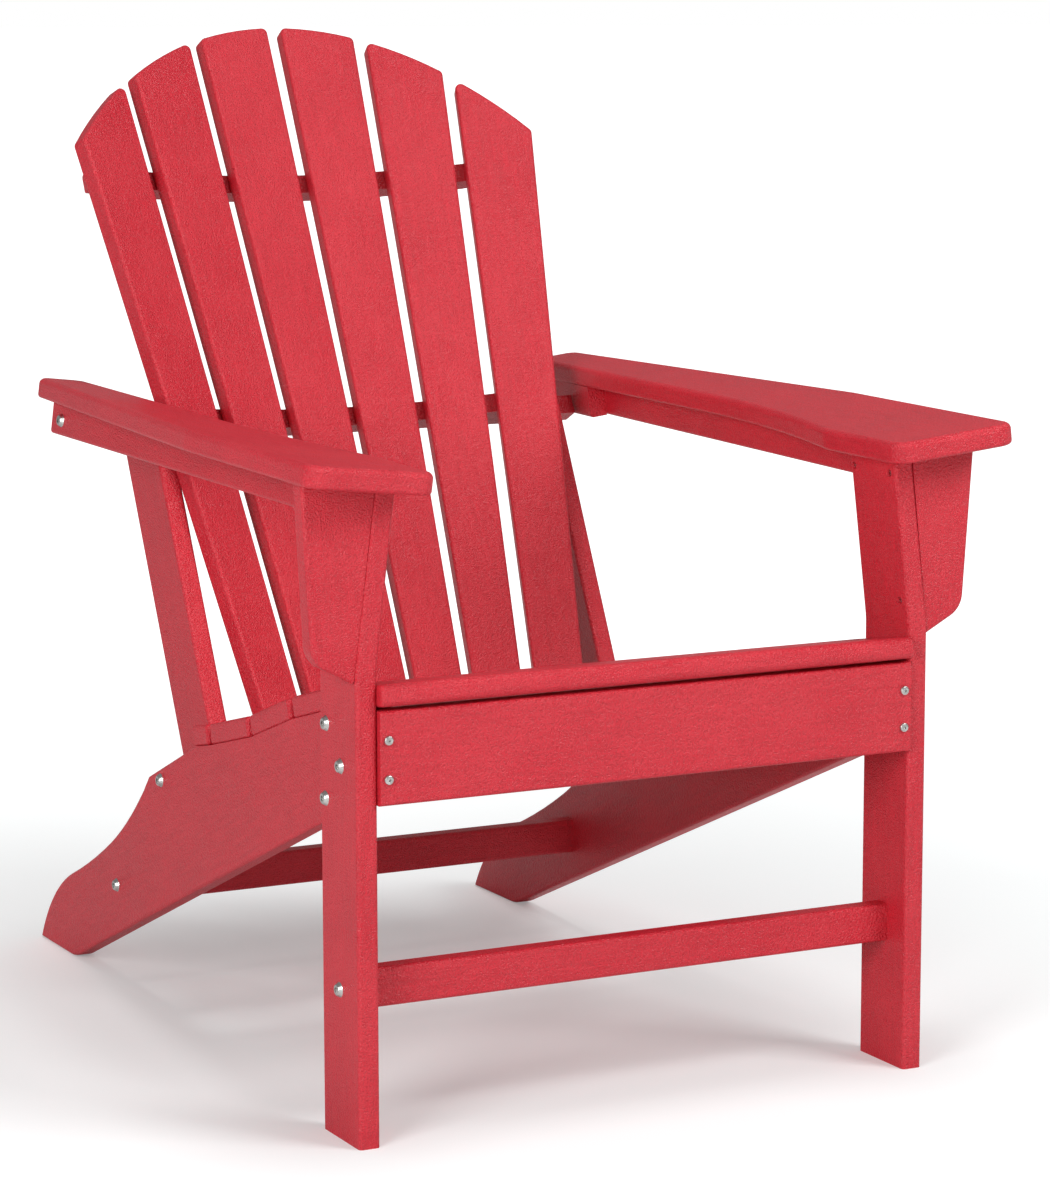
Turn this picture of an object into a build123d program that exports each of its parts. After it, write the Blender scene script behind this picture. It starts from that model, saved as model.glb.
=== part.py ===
from build123d import *
import math
import os

os.makedirs("parts", exist_ok=True)

# Adirondack chair in poly lumber.  Millimetres, +Z up, -Y is the front, X = 0 is the plane of
# symmetry.  The origin is the middle of the footprint on the ground.  Side-view positions are
# pairs (depth behind the front face of the front legs, height above the ground).

# ---------------------------------------------------------------- overall and shared sizes
board = 20.0                # thickness of every plank
edge_round = 3.5            # rounding of the long plank edges
frame_half_width = 270.0    # centre plane to the outer face of a side rail (inner face of a leg)
reach = 900.0               # longer than any part of the chair, for cutting and trimming

# ---------------------------------------------------------------- seat
seat_start = (-12.0, 393.5)             # lower front edge of the first seat slat
seat_slat_width = 94.5
seat_gap = 8.0
last_seat_slat_width = 38.0
seat_slopes = [9.5, 15.0, 19.0, 14.0, 11.0]     # fall of each slat towards the back, degrees
front_slat_round = 7.0
seat_slat_widths = [seat_slat_width] * 4 + [last_seat_slat_width]

# ---------------------------------------------------------------- side rails and their feet
rail_under_slope = 0.4165   # fall of the straight underside
foot_front = 763.0
foot_back = 865.0
foot_toe_radius = 60.0      # where the underside turns into the foot
rail_tail_top = [(444.0, 274.5), (541.5, 233.5)]
# the tail runs down to the foot in three arcs, each given by a point on it and its end
rail_tail_arcs = [((592.0, 186.0), (650.0, 146.0)),
                  ((709.0, 115.0), (769.0, 88.5)),
                  ((825.0, 52.5), (foot_back, 0.0))]

# ---------------------------------------------------------------- front legs
leg_depth = 77.0
leg_bend_height = 420.0     # the legs are straight to here and lean inwards above
leg_lean = 6.9              # degrees, also the roll of the arm boards
leg_bend_radius = 100.0

# ---------------------------------------------------------------- aprons and stretchers
apron_front = -5.0
rail_front = apron_front + board        # the side rails start behind the apron
apron_bottom = 305.0
apron_top = 388.5
stretcher_height = 36.0
front_stretcher_at = (30.0, 117.5)      # front lower edge
rear_stretcher_at = (624.0, 86.0)

# ---------------------------------------------------------------- arms
# x and height of the arm's top face above the leg front
arm_origin = (frame_half_width + board / 2, 602.6)
arm_pitch = 0.8                 # rise towards the back, degrees
arm_overhang = 41.0             # in front of the leg, at the inner corner
arm_rear = 732.0
arm_inner_front = -52.0
arm_inner_rear = -21.0
arm_outer_front = 72.5
arm_front_skew = 10.0       # how much further forward the outer corner lies
arm_outer_rear = 30.0
arm_crease = 225.0              # depth where the outer edge turns inwards
arm_flare = (88.0, 370.0)       # the inner edge turns outwards at the first and is straight by the second
arm_flare_round = 30.0
arm_edge_round = 6.0        # rounding around the top face
arm_front_corner = 18.0
arm_rear_corner = 15.0
arm_rail_height = 33.0
arm_rail_splay = 1.2            # degrees
arm_rail_front = board + 1      # just behind the bracket
arm_rail_rear = 697.0
bracket_top_width = 69.0
bracket_low_width = 41.0
bracket_corner_drop = 154.0
bracket_foot_drop = 170.0
bracket_corner_round = 24.0
arm_block_span = (614.0, 706.0)
arm_block_height = 33.0
arm_block_round = 4.0

# the front face of the front legs stands here, so that the footprint is centred on the origin
leg_front_y = -(foot_back - arm_overhang - arm_front_skew) / 2

# ---------------------------------------------------------------- back slats
slat_low_z = 357.0              # heights at which the slat positions below are given
slat_high_z = 908.0
slat_low_width = 53.0
slat_high_width = 78.0
slat_tail = 122.0               # how far a slat runs on below the low height
slat_corner_round = 6.0
# low x, low depth, high x, high depth, turn towards the middle in degrees
slat_places = [(31.2, 519.0, 46.3, 797.5, 4.5),
               (95.5, 511.8, 136.8, 786.2, 13.0),
               (160.3, 496.7, 224.8, 765.7, 21.5)]
arch_radius = 350.0
arch_centre_z = 615.0
arch_steps = 12             # refinements when the arch is found on a leaning slat

# ---------------------------------------------------------------- back battens and posts
back_lean = 26.3                # degrees from upright
upper_batten_level = (772.0, 811.0)     # depth and height of the top face where it meets the back
arm_batten_level = (653.0, 577.5)
lower_batten_level = (500.5, 268.0)
upper_batten_half = 244.0
upper_batten_depth = 25.0
arm_batten_depth = 25.0
lower_batten_depth = 38.0
post_inner_x = frame_half_width - 3 * board     # a spacer stands between post and side rail
arm_batten_curve_half = post_inner_x + 5
post_width = 83.0
post_front_at = (524.5, 387.6)  # a point on the front edge of the post
post_slope = 0.494              # depth gained per unit of height
post_low_z = 240.0
spacer_span = (466.0, 530.0)    # depths of the packing block between post and side rail
spacer_low_z = 208.0
spacer_drop = 5.0               # below the top edge of the side rail
joint_gap = 0.3                 # clearance between planks that meet end to face

# ---------------------------------------------------------------- fasteners
bolt_head_diameter = 14.0
bolt_head_height = 3.6
bolt_head_top_diameter = 9.4
bolt_head_round = 1.4
bolt_shank_diameter = 8.0
bolt_hole_clearance = 0.4
bolt_socket = 5.0
bolt_socket_depth = 2.2
leg_bolts = [(64.0, 369.0), (34.0, 336.0), (66.0, 302.0)]
leg_bolt_length = 2 * board - 2         # stops just inside the second plank
stretcher_bolt_length = board + 35      # into the end of the stretcher
post_bolt_at = (508.0, 235.5)
post_bolt_length = 3 * board - 3
arm_bolt_depth = 672.0
arm_bolt_drop = 17.5            # below the top edge of the arm rail
arm_bolt_length = 2 * board - 2
screw_head_diameter = 8.5
screw_head_height = 2.6
screw_socket = 2.6
screw_socket_depth = 1.6
screw_shank_diameter = 4.5
screw_length = 45.0
apron_screw_x = frame_half_width - 8    # into the front end of the side rail
apron_screw_heights = [363.0, 328.5]
leg_screw_hole = 7.0
leg_screw_recess = 5.0
leg_screw_head = 6.6
leg_screw_length = 28.0
leg_screws = [(70.0, -36.0), (10.0, -36.0), (10.0, -156.0)]    # depth, height below the arm top


# ---------------------------------------------------------------- planes the pieces are drawn on
def side_plane(x):
    """Plane seen from +X: local x is depth behind the leg front, local y is height."""
    return Plane(origin=(x, leg_front_y, 0), x_dir=(0, 1, 0), z_dir=(1, 0, 0))


def seat_chain():
    """Undersides of the seat slats, front to back, as (front edge, rear edge, slope)."""
    depth, height = seat_start
    places = []
    for index, (width, slope) in enumerate(zip(seat_slat_widths, seat_slopes)):
        angle = math.radians(slope)
        end = (depth + width * math.cos(angle), height - width * math.sin(angle))
        places.append(((depth, height), end, slope))
        if index + 1 < len(seat_slopes):
            between = math.radians((slope + seat_slopes[index + 1]) / 2)
            depth = end[0] + seat_gap * math.cos(between)
            height = end[1] - seat_gap * math.sin(between)
    return places


def slat_plane(low_x, low_depth, high_x, high_depth, turn):
    """Front face of a back slat; local y runs up the slat."""
    low = Vector(low_x, leg_front_y + low_depth, slat_low_z)
    high = Vector(high_x, leg_front_y + high_depth, slat_high_z)
    up = (high - low).normalized()
    level = Vector(math.cos(math.radians(turn)), -math.sin(math.radians(turn)), 0)
    across = (level - up * level.dot(up)).normalized()
    return Plane(origin=low, x_dir=across, z_dir=across.cross(up))


def slat_half_width(run):
    """Half the width of a back slat, a given way up it from the low height."""
    slat_run = (slat_high_z - slat_low_z) / math.cos(math.radians(back_lean))
    return (slat_low_width + (slat_high_width - slat_low_width) * run / slat_run) / 2


def arch_point(plane, side):
    """Where the arch crosses a slat: side is -1 or 1 for its edges and 0 for its middle line."""
    run = slat_high_z - slat_low_z
    for _ in range(arch_steps):
        point = plane.from_local_coords(Vector(side * slat_half_width(run), run, 0))
        arch_z = arch_centre_z + math.sqrt(arch_radius ** 2 - point.X ** 2)
        run += (arch_z - point.Z) / plane.y_dir.Z
    return (side * slat_half_width(run), run)


def batten_plane(level):
    """Top face of a batten, square to the lean of the back; local y runs back and down."""
    lean = math.radians(back_lean)
    return Plane(origin=(0, leg_front_y + level[0], level[1]), x_dir=(1, 0, 0),
                 z_dir=(0, math.sin(lean), math.cos(lean)))


def batten_curve(level):
    """Depth of the backs of the slats across a batten, as (middle depth, depth lost per x squared)."""
    plane = batten_plane(level)
    found = []
    for place in (slat_places[0], slat_places[-1]):
        slat = slat_plane(*place)
        start = slat.origin - slat.z_dir * board
        run = (plane.origin - start).dot(plane.z_dir) / slat.y_dir.dot(plane.z_dir)
        point = plane.to_local_coords(start + slat.y_dir * run)
        found.append((point.X, point.Y))
    (x_in, d_in), (x_out, d_out) = found
    bow = (d_in - d_out) / (x_out ** 2 - x_in ** 2)
    return d_in + bow * x_in ** 2, bow


arm_roll = math.radians(leg_lean)
arm_rise = math.radians(arm_pitch)
arm_across = Vector(math.cos(arm_roll), 0, math.sin(arm_roll))
arm_along = Vector(0, math.cos(arm_rise), math.sin(arm_rise))
arm_up = arm_across.cross(arm_along).normalized()
arm_top = Plane(origin=(arm_origin[0], leg_front_y, arm_origin[1]), x_dir=arm_across, z_dir=arm_up)
arm_under = arm_top.offset(-board)
# front view of the arm end: local x across, local y up, facing the front
arm_front = Plane(origin=arm_top.origin, x_dir=arm_across, z_dir=arm_across.cross(arm_up))
splay = math.tan(math.radians(arm_rail_splay))
# outer face of the leaning part of the leg, measured across the arm
leg_outer_in_arm = ((frame_half_width + board - arm_origin[0]) * math.cos(arm_roll)
                    + (leg_bend_height - arm_origin[1]) * math.sin(arm_roll))


def rail_inner_at(depth):
    """Inner face of the arm rail, measured across the arm, at a given depth."""
    return leg_outer_in_arm + (depth - arm_rail_front) * splay


def long_edges(part, least):
    return part.edges().filter_by(lambda edge: edge.length > least)


def both_sides(planes):
    """Each plane followed by its mirror image about the plane of symmetry."""
    pairs = []
    for plane in planes:
        place, across, normal = plane.origin, plane.x_dir, plane.z_dir
        pairs.append(plane)
        pairs.append(Plane(origin=(-place.X, place.Y, place.Z), x_dir=(-across.X, across.Y, across.Z),
                           z_dir=(-normal.X, normal.Y, normal.Z)))
    return pairs


def save(builder, name):
    builder.part.label = name
    export_step(builder.part, f"parts/{name}.step")


# ---------------------------------------------------------------- fastener placement
# A bolt stands on a plane whose z axis points out of the face its head rests on.
bolt_planes = []
for depth, height in leg_bolts:
    bolt_planes.append((Plane(origin=(frame_half_width + board, leg_front_y + depth, height),
                              x_dir=(0, 1, 0), z_dir=(1, 0, 0)), leg_bolt_length))
front_stretcher_mid = (front_stretcher_at[0] + board / 2, front_stretcher_at[1] + stretcher_height / 2)
rear_stretcher_mid = (rear_stretcher_at[0] + board / 2, rear_stretcher_at[1] + stretcher_height / 2)
bolt_planes.append((Plane(origin=(frame_half_width + board, leg_front_y + front_stretcher_mid[0],
                                  front_stretcher_mid[1]),
                          x_dir=(0, 1, 0), z_dir=(1, 0, 0)), stretcher_bolt_length))
bolt_planes.append((Plane(origin=(frame_half_width, leg_front_y + rear_stretcher_mid[0],
                                  rear_stretcher_mid[1]),
                          x_dir=(0, 1, 0), z_dir=(1, 0, 0)), stretcher_bolt_length))
bolt_planes.append((Plane(origin=(frame_half_width, leg_front_y + post_bolt_at[0], post_bolt_at[1]),
                          x_dir=(0, 1, 0), z_dir=(1, 0, 0)), post_bolt_length))
arm_bolt_point = arm_under.from_local_coords(
    Vector(rail_inner_at(arm_bolt_depth) + board, arm_bolt_depth, -arm_bolt_drop))
rail_outward = (arm_across - arm_top.y_dir * splay).normalized()
bolt_planes.append((Plane(origin=arm_bolt_point, x_dir=arm_up, z_dir=rail_outward), arm_bolt_length))

apron_screw_planes = [Plane(origin=(apron_screw_x, leg_front_y + apron_front, height),
                            x_dir=(1, 0, 0), z_dir=(0, -1, 0)) for height in apron_screw_heights]
leg_screw_planes = [Plane(origin=arm_top.from_local_coords(Vector(leg_outer_in_arm - board, depth, drop)),
                          x_dir=arm_up, z_dir=-arm_across) for depth, drop in leg_screws]


def drill_bolts():
    """Cut the clearance holes of all the bolts out of the part being built."""
    for plane, length in bolt_planes:
        with Locations(*both_sides([plane])):
            Cylinder(bolt_shank_diameter / 2 + bolt_hole_clearance, length + joint_gap,
                     align=(Align.CENTER, Align.CENTER, Align.MAX), mode=Mode.SUBTRACT)


def drill_screws(planes, length):
    """Cut the holes that the screws thread themselves into."""
    with Locations(*both_sides(planes)):
        Cylinder(screw_shank_diameter / 2, length,
                 align=(Align.CENTER, Align.CENTER, Align.MAX), mode=Mode.SUBTRACT)


# ================================================================ seat
seat_places = seat_chain()
for number, (start, end, slope) in enumerate(seat_places, start=1):
    fall = math.radians(slope)
    slat_end = Plane(origin=(-frame_half_width, leg_front_y + start[0], start[1]),
                     x_dir=(0, math.cos(fall), -math.sin(fall)), z_dir=(1, 0, 0))
    with BuildPart() as seat_slat:
        with BuildSketch(slat_end):
            Rectangle(seat_slat_widths[number - 1], board, align=(Align.MIN, Align.MIN))
        extrude(amount=2 * frame_half_width)
        if number == 1:
            front_edges = seat_slat.edges().filter_by(Axis.X).sort_by(Axis.Y)[:2]
            fillet(front_edges, front_slat_round)
            slat_ends = seat_slat.faces().sort_by(Axis.X)
            rear_edges = long_edges(seat_slat.part, reach / 2).sort_by(Axis.Y)[-2:]
            fillet(slat_ends[0].edges() + slat_ends[-1].edges() + rear_edges, edge_round)
        else:
            fillet(seat_slat.edges(), edge_round)
    save(seat_slat, f"seat_slat_{number}")

# ================================================================ side rails
with BuildPart() as side_rail_right:
    with BuildSketch(side_plane(frame_half_width - board)) as rail_profile:
        with BuildLine():
            first_start, first_end = seat_places[0][0], seat_places[0][1]
            first_fall = (first_end[1] - first_start[1]) / (first_end[0] - first_start[0])
            front_top = (rail_front, first_start[1] + first_fall * (rail_front - first_start[0]))
            crest = [front_top, first_end]
            for start, end, slope in seat_places[1:]:
                crest += [start, end]
            Polyline(*crest, *rail_tail_top)
            arc_start = rail_tail_top[-1]
            for arc_middle, arc_end in rail_tail_arcs:
                ThreePointArc(arc_start, arc_middle, arc_end)
                arc_start = arc_end
            Polyline(arc_start, (foot_front, 0),
                     (rail_front, rail_under_slope * (foot_front - rail_front)), front_top)
        make_face()
        toe = vertices().group_by(Axis.Y)[0].sort_by(Axis.X)[:1]
        fillet(toe, foot_toe_radius)
    extrude(amount=board)
    open_edges = side_rail_right.edges().filter_by(
        lambda edge: edge.bounding_box().min.Z < rail_tail_top[0][1] - edge_round
        and edge.bounding_box().size.X < edge_round)
    fillet(open_edges, edge_round)
    drill_bolts()
    drill_screws(apron_screw_planes, screw_length)
save(side_rail_right, "side_rail_right")

with BuildPart() as side_rail_left:
    mirror(side_rail_right.part, about=Plane.YZ)
save(side_rail_left, "side_rail_left")

# ================================================================ apron and stretchers
with BuildPart() as apron:
    with Locations((0, leg_front_y + apron_front, (apron_bottom + apron_top) / 2)):
        Box(2 * frame_half_width - 2 * joint_gap, board, apron_top - apron_bottom,
            align=(Align.CENTER, Align.MIN, Align.CENTER))
    fillet(apron.edges().filter_by(Axis.X), edge_round)
    drill_screws(apron_screw_planes, screw_length)
save(apron, "apron")


def build_stretcher(at, half_length):
    """Board on edge between the two sides, bored at both ends for its bolts."""
    with Locations((0, leg_front_y + at[0], at[1])):
        Box(2 * half_length, board, stretcher_height, align=(Align.CENTER, Align.MIN, Align.MIN))


with BuildPart() as front_stretcher:
    build_stretcher(front_stretcher_at, frame_half_width)
    fillet(front_stretcher.edges().filter_by(Axis.X), edge_round)
    drill_bolts()
save(front_stretcher, "front_stretcher")

with BuildPart() as rear_stretcher:
    build_stretcher(rear_stretcher_at, frame_half_width - board)
    fillet(rear_stretcher.edges().filter_by(Axis.X), edge_round)
    drill_bolts()
save(rear_stretcher, "rear_stretcher")

# ================================================================ front legs
lean_run = math.sin(arm_roll)
lean_rise = math.cos(arm_roll)
leg_over = 230.0            # length above the bend before the top is trimmed to the arm
with BuildPart() as front_leg_right:
    with BuildSketch(Plane.XZ.offset(-leg_front_y)):
        with BuildLine():
            outer_x = frame_half_width + board
            Polyline((frame_half_width, 0), (outer_x, 0), (outer_x, leg_bend_height),
                     (outer_x - leg_over * lean_run, leg_bend_height + leg_over * lean_rise),
                     (frame_half_width - leg_over * lean_run, leg_bend_height + leg_over * lean_rise),
                     (frame_half_width, leg_bend_height), close=True)
        make_face()
        bend_corners = vertices().group_by(Axis.Y)[1]
        fillet(bend_corners, leg_bend_radius)
    extrude(amount=-leg_depth)
    split(bisect_by=arm_under, keep=Keep.BOTTOM)
    upright = front_leg_right.edges().filter_by(
        lambda edge: abs(edge.center().Z - leg_bend_height) < leg_bend_height - board
        and edge.bounding_box().size.Y < 1)
    fillet(upright, edge_round)
    drill_bolts()
    for plane in leg_screw_planes:
        with BuildSketch(plane):
            Circle(leg_screw_hole / 2)
        extrude(amount=-leg_screw_recess, mode=Mode.SUBTRACT)
    drill_screws(leg_screw_planes, leg_screw_length)
save(front_leg_right, "front_leg_right")

with BuildPart() as front_leg_left:
    mirror(front_leg_right.part, about=Plane.YZ)
save(front_leg_left, "front_leg_left")

# ================================================================ arm brackets, rails and blocks
with BuildPart() as arm_bracket_right:
    with BuildSketch(arm_front) as bracket_face:
        with BuildLine():
            Polyline((leg_outer_in_arm, -board),
                     (leg_outer_in_arm + bracket_top_width, -board),
                     (leg_outer_in_arm + bracket_low_width, -board - bracket_corner_drop),
                     (leg_outer_in_arm, -board - bracket_foot_drop), close=True)
        make_face()
        corner = vertices().sort_by(Axis.X)[2:3]
        fillet(corner, bracket_corner_round)
    extrude(amount=-board)
    fillet(arm_bracket_right.edges().filter_by(
        lambda edge: edge.length > bracket_foot_drop / 3
        and edge.bounding_box().max.X > arm_origin[0] + board), edge_round)
    drill_screws(leg_screw_planes, leg_screw_length)
save(arm_bracket_right, "arm_bracket_right")

with BuildPart() as arm_rail_right:
    with BuildSketch(arm_under):
        with BuildLine():
            Polyline((rail_inner_at(arm_rail_front), arm_rail_front),
                     (rail_inner_at(arm_rail_rear), arm_rail_rear),
                     (rail_inner_at(arm_rail_rear) + board, arm_rail_rear),
                     (rail_inner_at(arm_rail_front) + board, arm_rail_front), close=True)
        make_face()
    extrude(amount=-arm_rail_height)
    fillet(long_edges(arm_rail_right.part, reach / 2), edge_round)
    drill_bolts()
    drill_screws(leg_screw_planes, leg_screw_length)
save(arm_rail_right, "arm_rail_right")

with BuildPart() as arm_block_right:
    with BuildSketch(arm_under):
        with BuildLine():
            near, far = arm_block_span
            Polyline((rail_inner_at(near) - board, near), (rail_inner_at(far) - board, far),
                     (rail_inner_at(far), far), (rail_inner_at(near), near), close=True)
        make_face()
    extrude(amount=-arm_block_height)
    fillet(arm_block_right.edges().group_by(Axis.Z)[0], arm_block_round)
    drill_bolts()
save(arm_block_right, "arm_block_right")

with BuildPart() as arm_right:
    with BuildSketch(arm_top):
        with BuildLine():
            flare_start, flare_end = arm_flare
            Line((arm_inner_front, -arm_overhang), (arm_inner_front, flare_start))
            TangentArc((arm_inner_rear, flare_end), (arm_inner_front, flare_start), tangent=(0, -1))
            Line((arm_inner_rear, flare_end), (arm_inner_rear, arm_rear))
            Polyline((arm_inner_rear, arm_rear), (arm_outer_rear, arm_rear),
                     (arm_outer_front, arm_crease),
                     (arm_outer_front, -arm_overhang - arm_front_skew),
                     (arm_inner_front, -arm_overhang))
        make_face()
        fillet(vertices().sort_by(Axis.Y)[:2], arm_front_corner)
        fillet(vertices().sort_by(Axis.Y)[-2:], arm_rear_corner)
        fillet(vertices().filter_by(lambda corner: abs(corner.Y - flare_start) < joint_gap), arm_flare_round)
    extrude(amount=-board)
    fillet(arm_right.faces().sort_by(Axis.Z)[-1].edges(), arm_edge_round)
    fillet(arm_right.faces().filter_by(lambda face: face.normal_at().Z < -0.9).edges(), edge_round)
save(arm_right, "arm_right")

with BuildPart() as arm_bracket_left:
    mirror(arm_bracket_right.part, about=Plane.YZ)
save(arm_bracket_left, "arm_bracket_left")

with BuildPart() as arm_rail_left:
    mirror(arm_rail_right.part, about=Plane.YZ)
save(arm_rail_left, "arm_rail_left")

with BuildPart() as arm_block_left:
    mirror(arm_block_right.part, about=Plane.YZ)
save(arm_block_left, "arm_block_left")

with BuildPart() as arm_left:
    mirror(arm_right.part, about=Plane.YZ)
save(arm_left, "arm_left")

# ================================================================ back slats
slat_parts = []
slat_count = 2 * len(slat_places)
for number, place in enumerate(slat_places, start=len(slat_places) + 1):
    slat_face = slat_plane(*place)
    with BuildPart() as back_slat:
        with BuildSketch(slat_face):
            with BuildLine():
                low_half = slat_half_width(-slat_tail)
                left, top, right = (arch_point(slat_face, side) for side in (-1, 0, 1))
                Polyline(left, (-low_half, -slat_tail), (low_half, -slat_tail), right)
                ThreePointArc(left, top, right)
            make_face()
            fillet(vertices().filter_by(lambda corner: corner.Y > 0), slat_corner_round)
        extrude(amount=-board)
        broad_faces = back_slat.faces().sort_by(SortBy.AREA)[-2:]
        for face in broad_faces.sort_by(Axis.Y):
            # all around but for the tail end, which is the lowest edge
            rim = face.edges().sort_by(Axis.Z)[1:]
            fillet(rim, edge_round)
    save(back_slat, f"back_slat_{number}")
    with BuildPart() as back_slat_twin:
        mirror(back_slat.part, about=Plane.YZ)
    save(back_slat_twin, f"back_slat_{slat_count + 1 - number}")
    slat_parts += [back_slat.part, back_slat_twin.part]


# ================================================================ back battens
def cut_slats():
    """Flatten the curved front edge where the slats bear on it."""
    for slat in slat_parts:
        add(slat, mode=Mode.SUBTRACT)


with BuildPart() as upper_batten:
    with BuildSketch(batten_plane(upper_batten_level)):
        middle, bow = batten_curve(upper_batten_level)
        end_depth = middle - bow * upper_batten_half ** 2
        with BuildLine():
            ThreePointArc((-upper_batten_half, end_depth), (0, middle), (upper_batten_half, end_depth))
            Line((upper_batten_half, end_depth), (upper_batten_half, end_depth + upper_batten_depth))
            ThreePointArc((upper_batten_half, end_depth + upper_batten_depth),
                          (0, middle + upper_batten_depth),
                          (-upper_batten_half, end_depth + upper_batten_depth))
            Line((-upper_batten_half, end_depth + upper_batten_depth), (-upper_batten_half, end_depth))
        make_face()
    extrude(amount=-board)
    fillet(long_edges(upper_batten.part, reach / 2).sort_by(Axis.Y)[-2:], edge_round)
    cut_slats()
save(upper_batten, "upper_batten")

# the block's inner face leans, so the batten is cut to where that face is at the batten's top front edge
batten_end = arm_under.to_local_coords(batten_plane(arm_batten_level).from_local_coords(
    Vector(post_inner_x - board, batten_curve(arm_batten_level)[0], 0)))
arm_block_inner_x = arm_under.from_local_coords(
    Vector(rail_inner_at(batten_end.Y) - board, batten_end.Y, batten_end.Z - edge_round)).X
arm_batten_half = arm_block_inner_x - joint_gap
with BuildPart() as arm_batten:
    with BuildSketch(batten_plane(arm_batten_level)):
        middle, bow = batten_curve(arm_batten_level)
        curve_end = middle - bow * arm_batten_curve_half ** 2
        back_edge = middle + arm_batten_depth
        with BuildLine():
            ThreePointArc((-arm_batten_curve_half, curve_end), (0, middle),
                          (arm_batten_curve_half, curve_end))
            Polyline((arm_batten_curve_half, curve_end), (arm_batten_curve_half, middle),
                     (arm_batten_half, middle), (arm_batten_half, back_edge),
                     (-arm_batten_half, back_edge), (-arm_batten_half, middle),
                     (-arm_batten_curve_half, middle), (-arm_batten_curve_half, curve_end))
        make_face()
    extrude(amount=-board)
    fillet(long_edges(arm_batten.part, reach / 2), edge_round)
    cut_slats()
save(arm_batten, "arm_batten")

with BuildPart() as lower_batten:
    with BuildSketch(batten_plane(lower_batten_level)):
        middle, bow = batten_curve(lower_batten_level)
        curve_end = middle - bow * post_inner_x ** 2
        back_edge = middle + lower_batten_depth
        with BuildLine():
            ThreePointArc((-post_inner_x, curve_end), (0, middle), (post_inner_x, curve_end))
            Polyline((post_inner_x, curve_end), (post_inner_x, back_edge), (-post_inner_x, back_edge),
                     (-post_inner_x, curve_end))
        make_face()
    extrude(amount=-board)
    cut_slats()
save(lower_batten, "lower_batten")

# ================================================================ posts and their spacers
arm_batten_under = batten_plane(arm_batten_level).offset(-board)


def post_front_depth(height):
    return post_front_at[0] + post_slope * (height - post_front_at[1])


with BuildPart() as post_right:
    with BuildSketch(side_plane(post_inner_x)):
        lean = math.atan(post_slope)
        back_step = (post_width * math.cos(lean), -post_width * math.sin(lean))
        top_z = arm_origin[1]
        with BuildLine():
            Polyline((post_front_depth(post_low_z), post_low_z),
                     (post_front_depth(top_z), top_z),
                     (post_front_depth(top_z) + back_step[0], top_z + back_step[1]),
                     (post_front_depth(post_low_z) + back_step[0], post_low_z + back_step[1]),
                     close=True)
        make_face()
    extrude(amount=board)
    split(bisect_by=arm_batten_under, keep=Keep.BOTTOM)
    fillet(long_edges(post_right.part, post_low_z), edge_round)
    cut_slats()
    drill_bolts()
save(post_right, "post_right")

with BuildPart() as post_left:
    mirror(post_right.part, about=Plane.YZ)
save(post_left, "post_left")


def tail_top_at(depth):
    """Height of the side rail's top edge behind the seat."""
    (near, near_z), (far, far_z) = rail_tail_top
    return near_z + (far_z - near_z) * (depth - near) / (far - near)


with BuildPart() as post_spacer_right:
    with BuildSketch(side_plane(post_inner_x + board)):
        near, far = spacer_span
        with BuildLine():
            Polyline((near, spacer_low_z), (far, spacer_low_z), (far, tail_top_at(far) - spacer_drop),
                     (near, tail_top_at(near) - spacer_drop), close=True)
        make_face()
    extrude(amount=board)
    drill_bolts()
save(post_spacer_right, "post_spacer_right")

with BuildPart() as post_spacer_left:
    mirror(post_spacer_right.part, about=Plane.YZ)
save(post_spacer_left, "post_spacer_left")

# ================================================================ fasteners
with BuildPart() as bolts:
    for plane, length in bolt_planes:
        for seat in both_sides([plane]):
            with Locations(seat):
                Cylinder(bolt_shank_diameter / 2, length, align=(Align.CENTER, Align.CENTER, Align.MAX))
                Cone(bolt_head_diameter / 2, bolt_head_top_diameter / 2, bolt_head_height,
                     align=(Align.CENTER, Align.CENTER, Align.MIN))
            with BuildSketch(seat.offset(bolt_head_height)):
                RegularPolygon(bolt_socket / 2, 6, major_radius=False)
            extrude(amount=-bolt_socket_depth, mode=Mode.SUBTRACT)
    fillet(bolts.edges().filter_by(GeomType.CIRCLE).filter_by(
        lambda edge: abs(edge.radius - bolt_head_top_diameter / 2) < bolt_hole_clearance), bolt_head_round)
save(bolts, "bolts")

with BuildPart() as apron_screws:
    with Locations(*both_sides(apron_screw_planes)):
        Cylinder(screw_shank_diameter / 2, screw_length,
                 align=(Align.CENTER, Align.CENTER, Align.MAX))
        Cylinder(screw_head_diameter / 2, screw_head_height,
                 align=(Align.CENTER, Align.CENTER, Align.MIN))
    fillet(apron_screws.edges().group_by(Axis.Y)[0], screw_head_height / 2)
    with Locations(*[plane.offset(screw_head_height) for plane in both_sides(apron_screw_planes)]):
        Cylinder(screw_socket / 2, screw_socket_depth,
                 align=(Align.CENTER, Align.CENTER, Align.MAX), mode=Mode.SUBTRACT)
save(apron_screws, "apron_screws")

with BuildPart() as leg_screws_set:
    with Locations(*[plane.offset(-leg_screw_recess) for plane in both_sides(leg_screw_planes)]):
        Cylinder(screw_shank_diameter / 2, leg_screw_length - leg_screw_recess,
                 align=(Align.CENTER, Align.CENTER, Align.MAX))
        Cylinder(leg_screw_head / 2, screw_head_height,
                 align=(Align.CENTER, Align.CENTER, Align.MIN))
save(leg_screws_set, "leg_screws")
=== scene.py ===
import math

import bpy
import numpy as np
from mathutils import Matrix, Vector


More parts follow.
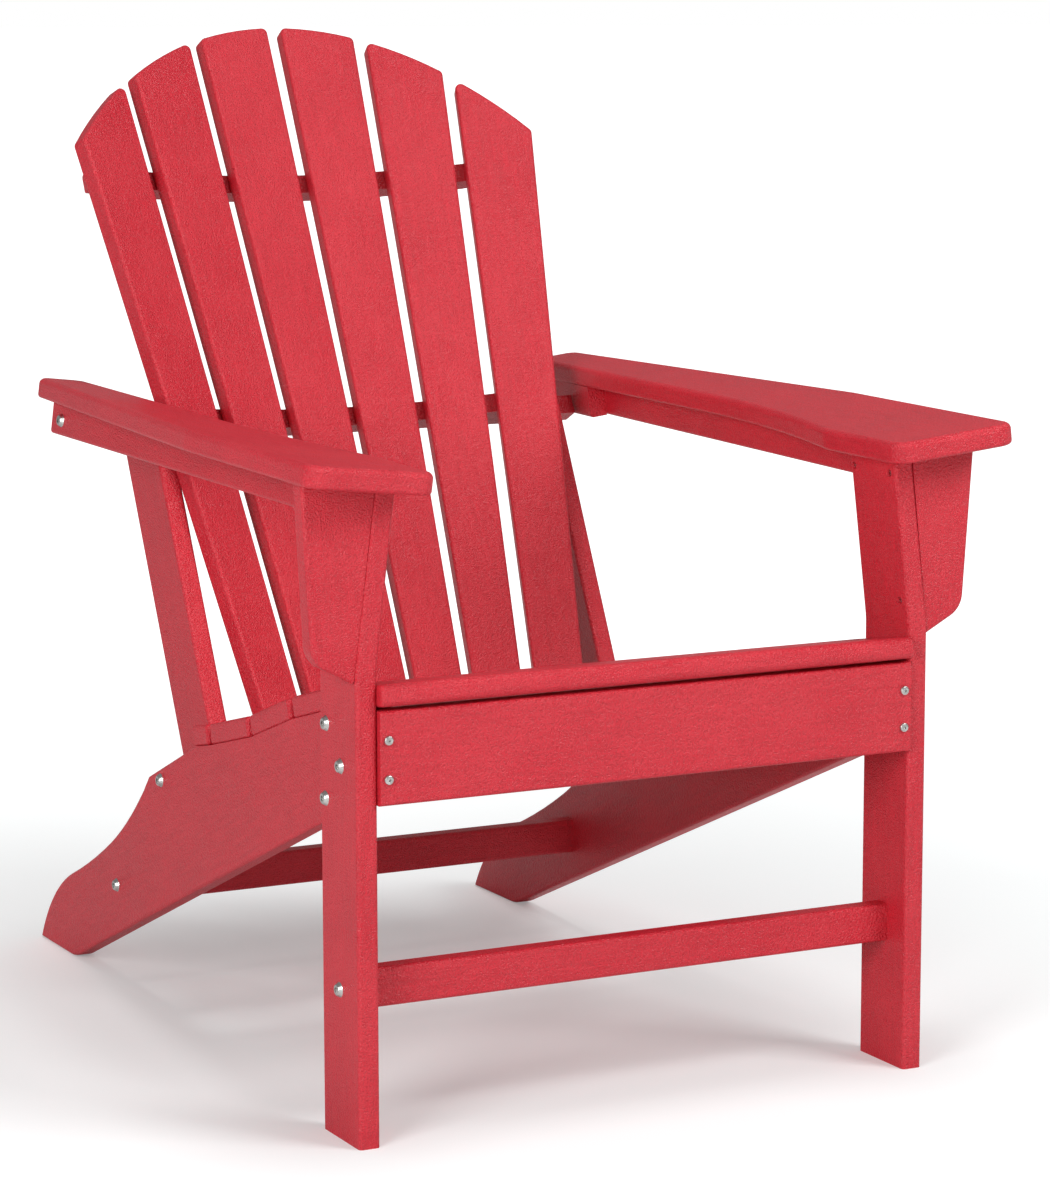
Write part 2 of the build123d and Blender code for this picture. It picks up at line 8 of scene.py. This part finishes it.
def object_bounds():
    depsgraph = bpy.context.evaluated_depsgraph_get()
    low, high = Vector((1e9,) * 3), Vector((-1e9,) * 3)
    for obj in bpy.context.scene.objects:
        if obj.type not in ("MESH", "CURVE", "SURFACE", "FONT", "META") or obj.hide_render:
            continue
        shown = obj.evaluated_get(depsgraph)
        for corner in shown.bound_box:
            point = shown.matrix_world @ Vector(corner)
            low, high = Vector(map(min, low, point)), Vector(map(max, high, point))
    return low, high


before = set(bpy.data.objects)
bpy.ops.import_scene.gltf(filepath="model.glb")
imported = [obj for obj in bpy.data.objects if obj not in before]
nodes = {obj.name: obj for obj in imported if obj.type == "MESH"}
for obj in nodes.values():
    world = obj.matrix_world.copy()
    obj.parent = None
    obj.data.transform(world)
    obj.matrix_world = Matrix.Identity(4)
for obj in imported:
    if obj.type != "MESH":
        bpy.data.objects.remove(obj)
cad_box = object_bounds()

# Lengths are metres, and the scale of a noise is its cycles in a metre.
STEEL_NODES = {"bolts", "apron_screws", "leg_screws"}
SEED_STEP = 0.37                        # moves the noise on from one piece to the next

# poly lumber
LUMBER_DEEP = (0.52, 0.013, 0.026, 1)
LUMBER_BRIGHT = (0.70, 0.020, 0.040, 1)
LUMBER_PALE = (0.74, 0.036, 0.055, 1)
LUMBER_ROUGHNESS = (0.30, 0.42)
LUMBER_IOR = 1.5
STREAK_SCALE = 260.0
STREAK_STRETCH = 11.0                   # how much longer along the board than across it
STREAK_SPREAD = (0.35, 1.0)             # share of the bright red
CLOUD_SCALE = 9.0
CLOUD_SPREAD = (0.0, 0.6)               # share of the pale red
PEBBLE_SCALE = 620.0
PIT_SHADE_SPREAD = (0.65, 0.0)                # painted shade: share of the deep red in the lowest places between pebbles
FLECK_SCALE = 900.0
FLECK_BUMP = (0.25, 0.0003)             # strength and height
PEBBLE_BUMP = (0.8, 0.0024)
STREAK_BUMP = (0.06, 0.0004)

# stainless steel
STEEL_CLEAN = (0.70, 0.69, 0.67, 1)
STEEL_DULL = (0.50, 0.49, 0.47, 1)
STEEL_ROUGHNESS = (0.20, 0.38)
SMUDGE_SCALE = 160.0
SCRATCH_SCALE = 900.0
SCRATCH_STRETCH = 0.07
SCRATCH_BUMP = (0.15, 0.0002)

# floor and surroundings, which the camera sees brighter than they light the chair
FLOOR_REACH = 900
FLOOR_COLOUR = (0.76, 0.79, 0.79, 1)
FLOOR_GLOW_FROM = (0.5, 2.2)            # distances from the origin
FLOOR_GLOW = (0.24, 0.85)               # what the floor adds for the camera at those distances; the weaker glow near the chair is a painted shadow under it
WHITE = (1, 1, 1, 1)
WORLD_LIGHT = 0.26
WORLD_SEEN = 1.0

# lights: sun from a direction, panels from a place
OVERHEAD_FROM = (0.1, -0.1, 3.0)
OVERHEAD_ENERGY = 0.9
OVERHEAD_ANGLE = 18                     # degrees
# name, place, side of the square, power
PANELS = [("front_right_softbox", (1.35, -2.1, 2.1), 1.1, 39),
          ("left_softbox", (-3.2, -2.2, 1.6), 1.6, 82)]

# camera: angles in degrees
CAMERA_PLACE = (-1.6165, -3.3125, 0.9838)
CAMERA_TURN = -26.59
CAMERA_TILT = 9.25
CAMERA_ROLL = -0.18
CAMERA_LENS = 130.0                     # millimetres, on a sensor 36 wide
CAMERA_SENSOR = 36
CAMERA_SHIFT = (0.034, 0.025)
CAMERA_REACH = 200


# ------------------------------------------------------------------ material building
class Graph:
    """Short names for building a node tree."""

    def __init__(self, name):
        self.material = bpy.data.materials.new(name)
        self.material.use_nodes = True
        self.tree = self.material.node_tree
        self.tree.nodes.clear()
        self.out = self.add("ShaderNodeOutputMaterial")
        self.shader = self.add("ShaderNodeBsdfPrincipled")
        self.link(self.shader, "BSDF", self.out, "Surface")

    def add(self, kind, **values):
        node = self.tree.nodes.new(kind)
        for key, value in values.items():
            setattr(node, key, value)
        return node

    def set(self, node, **values):
        for key, value in values.items():
            node.inputs[key.replace("_", " ")].default_value = value

    def link(self, source, output, target, socket):
        self.tree.links.new(source.outputs[output], target.inputs[socket])

    def coordinates(self, axes=None, stretch=1.0, shift=(0, 0, 0)):
        """Object coordinates; axes turns z to run along a board, and stretch draws z out."""
        place = self.add("ShaderNodeTexCoord")
        mapping = self.add("ShaderNodeMapping", vector_type="TEXTURE")
        mapping.inputs["Location"].default_value = shift
        mapping.inputs["Scale"].default_value = (1, 1, stretch)
        if axes is not None:
            mapping.inputs["Rotation"].default_value = axes.to_euler()
        self.link(place, "Object", mapping, "Vector")
        return mapping

    def noise(self, source, scale, detail=2.0, roughness=0.5):
        node = self.add("ShaderNodeTexNoise")
        self.set(node, Scale=scale, Detail=detail, Roughness=roughness)
        self.link(source, "Vector", node, "Vector")
        return node

    def ramp(self, source, output, span, ends):
        """Maps the span of a value to the two end values, and holds them beyond it."""
        node = self.add("ShaderNodeMapRange")
        self.set(node, From_Min=span[0], From_Max=span[1], To_Min=ends[0], To_Max=ends[1])
        self.link(source, output, node, "Value")
        return node

    def mix(self, factor, first, second):
        """Mixes from the first colour, a tuple or an earlier mix, to the second."""
        node = self.add("ShaderNodeMix", data_type="RGBA")
        # a mix node has a set of sockets for each kind of value: 6 and 7 are the colours, 2 their result
        self.link(factor, "Result", node, 0)
        if isinstance(first, tuple):
            node.inputs[6].default_value = first
        else:
            self.link(first, 2, node, 6)
        node.inputs[7].default_value = second
        return node

    def bump(self, height, strength, distance, normal=None):
        node = self.add("ShaderNodeBump")
        self.set(node, Strength=strength, Distance=distance)
        self.link(height, "Fac", node, "Height")
        if normal is not None:
            self.link(normal, "Normal", node, "Normal")
        return node


def lumber(name, axes, seed):
    """Moulded poly lumber: red, pebbled all over with painted shade between the pebbles, with faint
    streaks along the board.
    """
    graph = Graph(name)
    plain = graph.coordinates(shift=(seed, seed * 0.7, -seed))
    along = graph.coordinates(axes, stretch=STREAK_STRETCH, shift=(seed, -seed, seed * 0.3))

    streak = graph.noise(along, STREAK_SCALE, detail=3.0, roughness=0.6)
    cloud = graph.noise(plain, CLOUD_SCALE, detail=4.0, roughness=0.6)
    fleck = graph.noise(plain, FLECK_SCALE, detail=1.0)
    pebbles = graph.noise(plain, PEBBLE_SCALE, detail=1.5, roughness=0.5)

    spread = graph.ramp(streak, "Fac", (0.3, 0.7), STREAK_SPREAD)
    colour = graph.mix(spread, LUMBER_DEEP, LUMBER_BRIGHT)
    patch = graph.ramp(cloud, "Fac", (0.42, 0.72), CLOUD_SPREAD)
    colour = graph.mix(patch, colour, LUMBER_PALE)
    # painted shade: the lowest places between the pebbles are darkened to deep red
    pit_shade = graph.ramp(pebbles, "Fac", (0.34, 0.47), PIT_SHADE_SPREAD)
    colour = graph.mix(pit_shade, colour, LUMBER_DEEP)
    graph.link(colour, 2, graph.shader, "Base Color")

    rough = graph.ramp(cloud, "Fac", (0.3, 0.7), LUMBER_ROUGHNESS)
    graph.link(rough, "Result", graph.shader, "Roughness")
    graph.set(graph.shader, IOR=LUMBER_IOR)

    flecked = graph.bump(fleck, *FLECK_BUMP)
    pebbled = graph.bump(pebbles, *PEBBLE_BUMP, normal=flecked)
    streaked = graph.bump(streak, *STREAK_BUMP, normal=pebbled)
    graph.link(streaked, "Normal", graph.shader, "Normal")
    return graph.material


def steel(name, seed):
    """Bright stainless with fine scratches and a little dulling."""
    graph = Graph(name)
    smudge = graph.noise(graph.coordinates(shift=(seed, 0, 0)), SMUDGE_SCALE, detail=3.0)
    scratch = graph.noise(graph.coordinates(stretch=SCRATCH_STRETCH, shift=(0, seed, 0)), SCRATCH_SCALE)

    dulling = graph.ramp(smudge, "Fac", (0.35, 0.7), (0.0, 1.0))
    colour = graph.mix(dulling, STEEL_CLEAN, STEEL_DULL)
    graph.link(colour, 2, graph.shader, "Base Color")
    graph.set(graph.shader, Metallic=1.0)
    rough = graph.ramp(smudge, "Fac", (0.3, 0.7), STEEL_ROUGHNESS)
    graph.link(rough, "Result", graph.shader, "Roughness")
    graph.link(graph.bump(scratch, *SCRATCH_BUMP), "Normal", graph.shader, "Normal")
    return graph.material


# ------------------------------------------------------------------ a material for every piece
def board_axes(piece):
    """Axes of a board, z along it: the way that the least of its surface faces."""
    mesh = piece.data
    facing = np.zeros((3, 3))
    for face in mesh.polygons:
        normal = np.array(face.normal)
        facing += face.area * np.outer(normal, normal)
    least, _, most = np.linalg.eigh(facing)[1].T
    z = Vector(least).normalized()
    x = Vector(most)
    x = (x - z * x.dot(z)).normalized()
    return Matrix((x, z.cross(x), z)).transposed()


for index, node in enumerate(sorted(nodes)):
    seed = SEED_STEP * index
    piece = nodes[node]
    if node in STEEL_NODES:
        material = steel(f"stainless_{node}", seed)
    else:
        material = lumber(f"lumber_{node}", board_axes(piece), seed)
    piece.data.materials.clear()
    piece.data.materials.append(material)


# ------------------------------------------------------------------ floor and surroundings
def floor_material():
    """Matt and pale; for the camera it glows a little, more so further out, and the weaker glow near the
    chair is a painted shadow.
    """
    graph = Graph("floor_paint")
    graph.set(graph.shader, Base_Color=FLOOR_COLOUR, Roughness=1.0, Emission_Color=WHITE)
    graph.shader.inputs["Specular IOR Level"].default_value = 0.0
    place = graph.add("ShaderNodeTexCoord")
    distance = graph.add("ShaderNodeVectorMath", operation="LENGTH")
    graph.link(place, "Object", distance, 0)
    # painted shadow: the floor glows less for the camera near the chair
    glow = graph.ramp(distance, "Value", FLOOR_GLOW_FROM, FLOOR_GLOW)
    ray = graph.add("ShaderNodeLightPath")
    seen = graph.add("ShaderNodeMath", operation="MULTIPLY")
    graph.link(glow, "Result", seen, 0)
    graph.link(ray, "Is Camera Ray", seen, 1)
    graph.link(seen, "Value", graph.shader, "Emission Strength")
    return graph.material


floor_mesh = bpy.data.meshes.new("floor")
floor_corners = [(x * FLOOR_REACH, y * FLOOR_REACH, 0) for x, y in ((-1, -1), (1, -1), (1, 1), (-1, 1))]
floor_mesh.from_pydata(floor_corners, [], [(0, 1, 2, 3)])
floor_mesh.materials.append(floor_material())
floor = bpy.data.objects.new("floor", floor_mesh)
bpy.context.scene.collection.objects.link(floor)

bpy.context.scene.view_settings.view_transform = "Standard"
world = bpy.data.worlds.new("studio")
world.use_nodes = True
sky = world.node_tree.nodes["Background"]
sky.inputs["Color"].default_value = WHITE
ray = world.node_tree.nodes.new("ShaderNodeLightPath")
level = world.node_tree.nodes.new("ShaderNodeMapRange")
level.inputs["To Min"].default_value = WORLD_LIGHT
level.inputs["To Max"].default_value = WORLD_SEEN
world.node_tree.links.new(ray.outputs["Is Camera Ray"], level.inputs["Value"])
world.node_tree.links.new(level.outputs["Result"], sky.inputs["Strength"])
bpy.context.scene.world = world


# ------------------------------------------------------------------ lights
def aimed(name, light, place, aim):
    body = bpy.data.objects.new(name, light)
    body.location = place
    body.rotation_euler = (Vector(aim) - Vector(place)).to_track_quat("-Z", "Y").to_euler()
    bpy.context.scene.collection.objects.link(body)


overhead = bpy.data.lights.new("overhead", "SUN")
overhead.energy = OVERHEAD_ENERGY
overhead.angle = math.radians(OVERHEAD_ANGLE)
aimed("overhead", overhead, OVERHEAD_FROM, (0, 0, 0))

low, high = (Vector(corner) for corner in cad_box)
for name, place, side, power in PANELS:
    panel = bpy.data.lights.new(name, "AREA")
    panel.shape = "RECTANGLE"
    panel.size = side
    panel.size_y = side
    panel.energy = power
    aimed(name, panel, place, (low + high) / 2)

# ------------------------------------------------------------------ camera
turn = math.radians(CAMERA_TURN)
tilt = math.radians(CAMERA_TILT)
roll = math.radians(CAMERA_ROLL)
level_right = Vector((math.cos(turn), math.sin(turn), 0))
back = Vector((math.sin(turn) * math.cos(tilt), -math.cos(turn) * math.cos(tilt), math.sin(tilt)))
level_up = back.cross(level_right)
right = level_right * math.cos(roll) + level_up * math.sin(roll)
up = level_up * math.cos(roll) - level_right * math.sin(roll)
lens = bpy.data.cameras.new("camera")
lens.sensor_fit = "HORIZONTAL"
lens.sensor_width = CAMERA_SENSOR
lens.lens = CAMERA_LENS
lens.shift_x, lens.shift_y = CAMERA_SHIFT
lens.clip_end = CAMERA_REACH
camera = bpy.data.objects.new("camera", lens)
camera.matrix_world = Matrix.Translation(CAMERA_PLACE) @ Matrix((right, up, back)).transposed().to_4x4()
bpy.context.scene.collection.objects.link(camera)
bpy.context.scene.camera = camera
